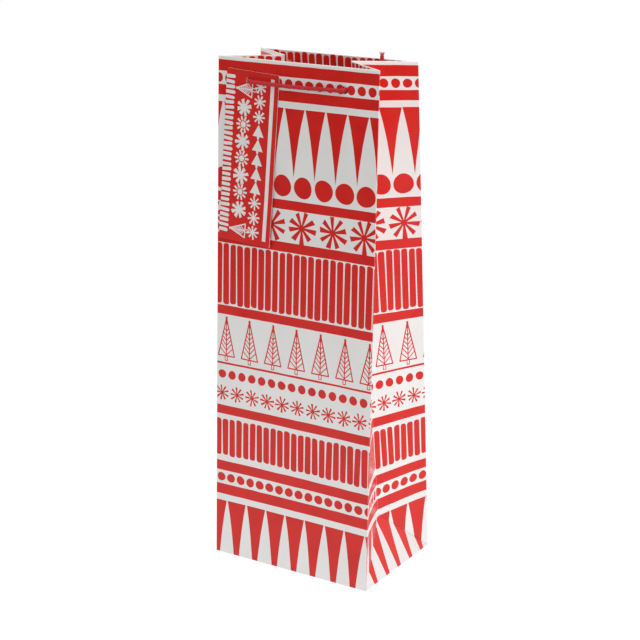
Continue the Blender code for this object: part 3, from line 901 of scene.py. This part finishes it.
def make(name, parts, mats):
    """One object from several (verts, faces, slot) in mm."""
    verts, faces, slots = [], [], []
    for v, f, slot in parts:
        base = len(verts)
        verts += [p * 0.001 for p in v]
        faces += [tuple(i + base for i in q) for q in f]
        slots += [slot] * len(f)
    mesh = bpy.data.meshes.new(name)
    mesh.from_pydata(verts, [], faces)
    for m in mats:
        mesh.materials.append(m)
    mesh.polygons.foreach_set("material_index", slots)
    mesh.polygons.foreach_set("use_smooth", [True] * len(slots))
    mesh.update()
    obj = bpy.data.objects.new(name, mesh)
    bpy.context.scene.collection.objects.link(obj)
    return obj


def knot_path(centre, axis, size, height, turn=0.0):
    """A closed overhand loop, drawn as a trefoil about axis."""
    axis = axis.normalized()
    a = axis.orthogonal().normalized()
    b = axis.cross(a)
    out = []
    n = 66
    for i in range(n + 1):
        t = 2 * math.pi * i / n
        x, y, z = math.sin(t) + 2 * math.sin(2 * t), math.cos(t) - 2 * math.cos(2 * t), -math.sin(3 * t)
        c, s = math.cos(turn), math.sin(turn)
        x, y = x * c - y * s, x * s + y * c
        out.append(centre + a * (x * size / 3) + b * (y * size / 3) + axis * (z * height))
    return out


def fibres(tip, direction, length, spread, count, seed):
    """A frayed end: loose strands that open out from the cut."""
    parts = []
    direction = direction.normalized()
    a = direction.orthogonal().normalized()
    b = direction.cross(a)
    for i in range(count):
        ang = 2.4 * i + hash01(seed, i)
        out = math.sqrt((i + 0.5) / count)
        start = tip + (a * math.cos(ang) + b * math.sin(ang)) * (out * 0.95)
        lean = (a * math.cos(ang + 0.5) + b * math.sin(ang + 0.5)) * (spread * out)
        ln = length * (0.7 + 0.5 * hash01(seed, i, 2))
        route = [start - direction * 1.5 + direction * ((ln + 1.5) * k / 6) + lean * (k / 6) ** 2 for k in range(7)]
        v, f = sweep(route, 0.27, 0, 9, 6, taper=lambda t: 1 - 0.55 * t)
        parts.append((v, f, 1))
    return parts


TURN_LAYER = PAPER + 0.15 + 0.4 + 0.15
INNER = TURN_LAYER + PAPER + GAP + CORD_R
ON_TAG = GAP + TAG_T + GAP + CORD_R
ON_PANEL = GAP + CORD_R


def leg(x, depth):
    top = off_front(x, 6.0, -INNER - 0.4)
    return V(x, top.y, top.z - depth)


front_points = (
    [leg(-HOLE_X, d) for d in (FRONT_LEG, 90, 70, 50, 30, 15, 6)]
    + [off_front(-HOLE_X, 2.2, -INNER), off_front(-HOLE_X, 0.0, -1.2),
       off_front(-HOLE_X + 0.2, 0.0, 0.8), off_front(-HOLE_X + 1.2, 0.0, ON_TAG + 0.1), off_front(-HOLE_X + 5.5, 0.4, ON_TAG + 0.6)]
    + [off_front(x, 1.0 * (1 - ((x + 1) / 36) ** 2), n)
       for x, n in ((-26, ON_TAG + 0.2), (-17, ON_TAG), (-6, ON_PANEL + 0.6), (6, ON_PANEL), (18, ON_PANEL), (27, ON_PANEL))]
    + [off_front(HOLE_X - 5.0, 0.4, ON_PANEL + 0.4), off_front(HOLE_X - 1.0, 0.0, ON_PANEL - 0.4),
       off_front(HOLE_X, 0.0, -1.2), off_front(HOLE_X, 2.2, -INNER)]
    + [leg(HOLE_X, d) for d in (6, 15, 30, 50, 70, 90, FRONT_LEG)]
)
front_route = smooth_route(front_points, 0.5)
front_cord = make("front_handle_rope", [(*sweep(front_route, CORD_R), 0)], (cord_red,))
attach(front_cord, "front")
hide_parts("front_handle_cord")

for x, word in ((-HOLE_X, "left"), (HOLE_X, "right")):
    end = leg(x, FRONT_LEG)
    centre = end - V(0, 0, GAP + KNOT_R * 1.15)
    parts = [(*sweep(knot_path(centre, V(0, 0.25, 1), 2.2, 1.35, 0.6 if word == "left" else 2.0), 1.3, 3, 7.5, 16), 0)]
    stub = [end + V(0, 0, 0.0 - 0.35), centre + V(0, 0, 1), centre - V(0, 0, 4), centre - V(0.4, 0, 8)]
    parts.append((*sweep(smooth_route(stub, 0.6), 1.3), 0))
    parts += fibres(centre - V(0.4, 0, 8), V(-0.1, 0, -1), 4.0, 1.7, 13, 3 if word == "left" else 5)
    knot = make(f"front_{word}_knot_rope", parts, (cord_red, cord_core))
    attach(knot, "front")
    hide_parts(f"front_{word}_knot")

AXIS_OUT = 2.6
back_holes = {"left": back_at(-HOLE_X, HEIGHT - HOLE_DROP), "right": back_at(HOLE_X, HEIGHT - HOLE_DROP)}
back_out = -BACK_IN_N
axis_points = {k: p + back_out * AXIS_OUT for k, p in back_holes.items()}
BACK_STACK = TURN_LAYER + PAPER
for word, tail in BACK_TAILS.items():
    hole, axis = back_holes[word], axis_points[word]
    centre = hole - back_out * (BACK_STACK + GAP + KNOT_R)
    tip = centre + V(0, 0, KNOT_R * 0.4 + tail) + back_out * 0.5
    parts = [(*sweep(knot_path(centre, back_out, 2.15, 1.2, 0.3 if word == "left" else 1.4), 1.28, 3, 7.5, 16), 0)]
    parts.append((*sweep(smooth_route([centre, centre.lerp(axis, 0.5), axis], 0.5), CORD_R), 0))
    parts.append((*sweep(smooth_route([centre + V(0.3, 0, 0.3), centre.lerp(tip, 0.5) + V(0.3, 0, 0), tip - V(0, 0, 1.8)], 0.5), CORD_R), 0))
    parts += fibres(tip - V(0, 0, 1.8), V(0.05, 0.0, 1), 2.2 if word == "right" else 2.6, 1.5, 17, 11 if word == "left" else 17)
    knot = make(f"back_{word}_knot_rope", parts, (cord_red, cord_core))
    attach(knot, "back")
    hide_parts(f"back_{word}_knot")

half_span = (axis_points["right"] - axis_points["left"]).length / 2
low, high = 0.5, 8.0
for _ in range(60):
    k = (low + high) / 2
    if math.sinh(k) / k < LOOP_LENGTH / (2 * half_span):
        low = k
    else:
        high = k
sag = half_span / k
loop_mid = (axis_points["right"] + axis_points["left"]) / 2
down = (back_at(0, 200) - back_at(0, 340)).normalized()
loop = []
for i in range(41):
    s = (-1 + 2 * i / 40) * math.sinh(k)
    u = math.asinh(s)
    loop.append(loop_mid + V(u * sag, 0, 0) + down * (sag * (math.cosh(k) - math.cosh(u))) + back_out * 0.6 * (1 - (u / k) ** 2))
for end, inner in ((0, 1), (-1, -2)):
    d = (loop[inner] - loop[end]).normalized()
    loop[end] = loop[end] + d * (CORD_R * 1.03 + GAP + 0.2 - 0.35)
back_route = smooth_route(loop, 0.5)
back_cord = make("back_handle_rope", [(*sweep(back_route, CORD_R), 0)], (cord_red,))
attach(back_cord, "back_handle")
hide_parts("back_handle_cord")

# ------------------------------------------------------------------ light
world = bpy.context.scene.world or bpy.data.worlds.new("world")
bpy.context.scene.world = world
world.use_nodes = True
wt = world.node_tree
bg = wt.nodes.get("Background") or wt.nodes.new("ShaderNodeBackground")
geo = wt.nodes.new("ShaderNodeTexCoord")
sep = wt.nodes.new("ShaderNodeSeparateXYZ")
wt.links.new(geo.outputs["Generated"], sep.inputs["Vector"])
light_side = node(wt, "ShaderNodeMapRange")
light_side.inputs["From Min"].default_value = -0.7
light_side.inputs["From Max"].default_value = 0.2
light_side.inputs["To Min"].default_value = 0.47
light_side.inputs["To Max"].default_value = 0.78
wt.links.new(sep.outputs["Y"], light_side.inputs["Value"])
bg.inputs["Color"].default_value = (1.0, 0.972, 0.952, 1)
high = node(wt, "ShaderNodeMapRange")
high.inputs["From Min"].default_value = 0.15
high.inputs["From Max"].default_value = 0.75
high.inputs["To Min"].default_value = 0.0
high.inputs["To Max"].default_value = 0.45
wt.links.new(sep.outputs["Z"], high.inputs["Value"])
total = wt.nodes.new("ShaderNodeMath")
total.operation = "ADD"
wt.links.new(light_side.outputs["Result"], total.inputs[0])
wt.links.new(high.outputs["Result"], total.inputs[1])
wt.links.new(total.outputs["Value"], bg.inputs["Strength"])

bpy.ops.mesh.primitive_plane_add(size=1, location=(0, 0, -0.0006))
floor = bpy.context.object
floor.name = "floor"
floor.scale = (30, 30, 1)
fm = bpy.data.materials.new("white_sweep")
fm.use_nodes = True
ft = fm.node_tree
fb = ft.nodes["Principled BSDF"]
fb.inputs["Base Color"].default_value = (0.05, 0.05, 0.05, 1)
fb.inputs["Roughness"].default_value = 0.9
fb.inputs["Specular IOR Level"].default_value = 0.0
fb.inputs["Emission Color"].default_value = (1, 1, 1, 1)
gp = ft.nodes.new("ShaderNodeNewGeometry")
gs = ft.nodes.new("ShaderNodeSeparateXYZ")
ft.links.new(gp.outputs["Position"], gs.inputs["Vector"])
fall = node(ft, "ShaderNodeMapRange")
fall.interpolation_type = "SMOOTHSTEP"
fall.inputs["From Min"].default_value = -1.02
fall.inputs["From Max"].default_value = -0.50
fall.inputs["To Min"].default_value = 0.10
fall.inputs["To Max"].default_value = 0.97
ft.links.new(gs.outputs["Y"], fall.inputs["Value"])
ft.links.new(fall.outputs["Result"], fb.inputs["Emission Strength"])
floor.data.materials.append(fm)


def area(name, where, towards, size, power, colour=(1, 1, 1)):
    data = bpy.data.lights.new(name, "AREA")
    data.shape = "RECTANGLE"
    data.size, data.size_y = size
    data.energy = power
    data.color = colour
    obj = bpy.data.objects.new(name, data)
    bpy.context.scene.collection.objects.link(obj)
    obj.location = where
    obj.visible_glossy = False
    obj.rotation_euler = (Vector(towards) - Vector(where)).to_track_quat("-Z", "Y").to_euler()


area("key_right", (0.68, 0.05, 0.95), (0.05, 0, 0.28), (0.55, 0.55), 4.8)
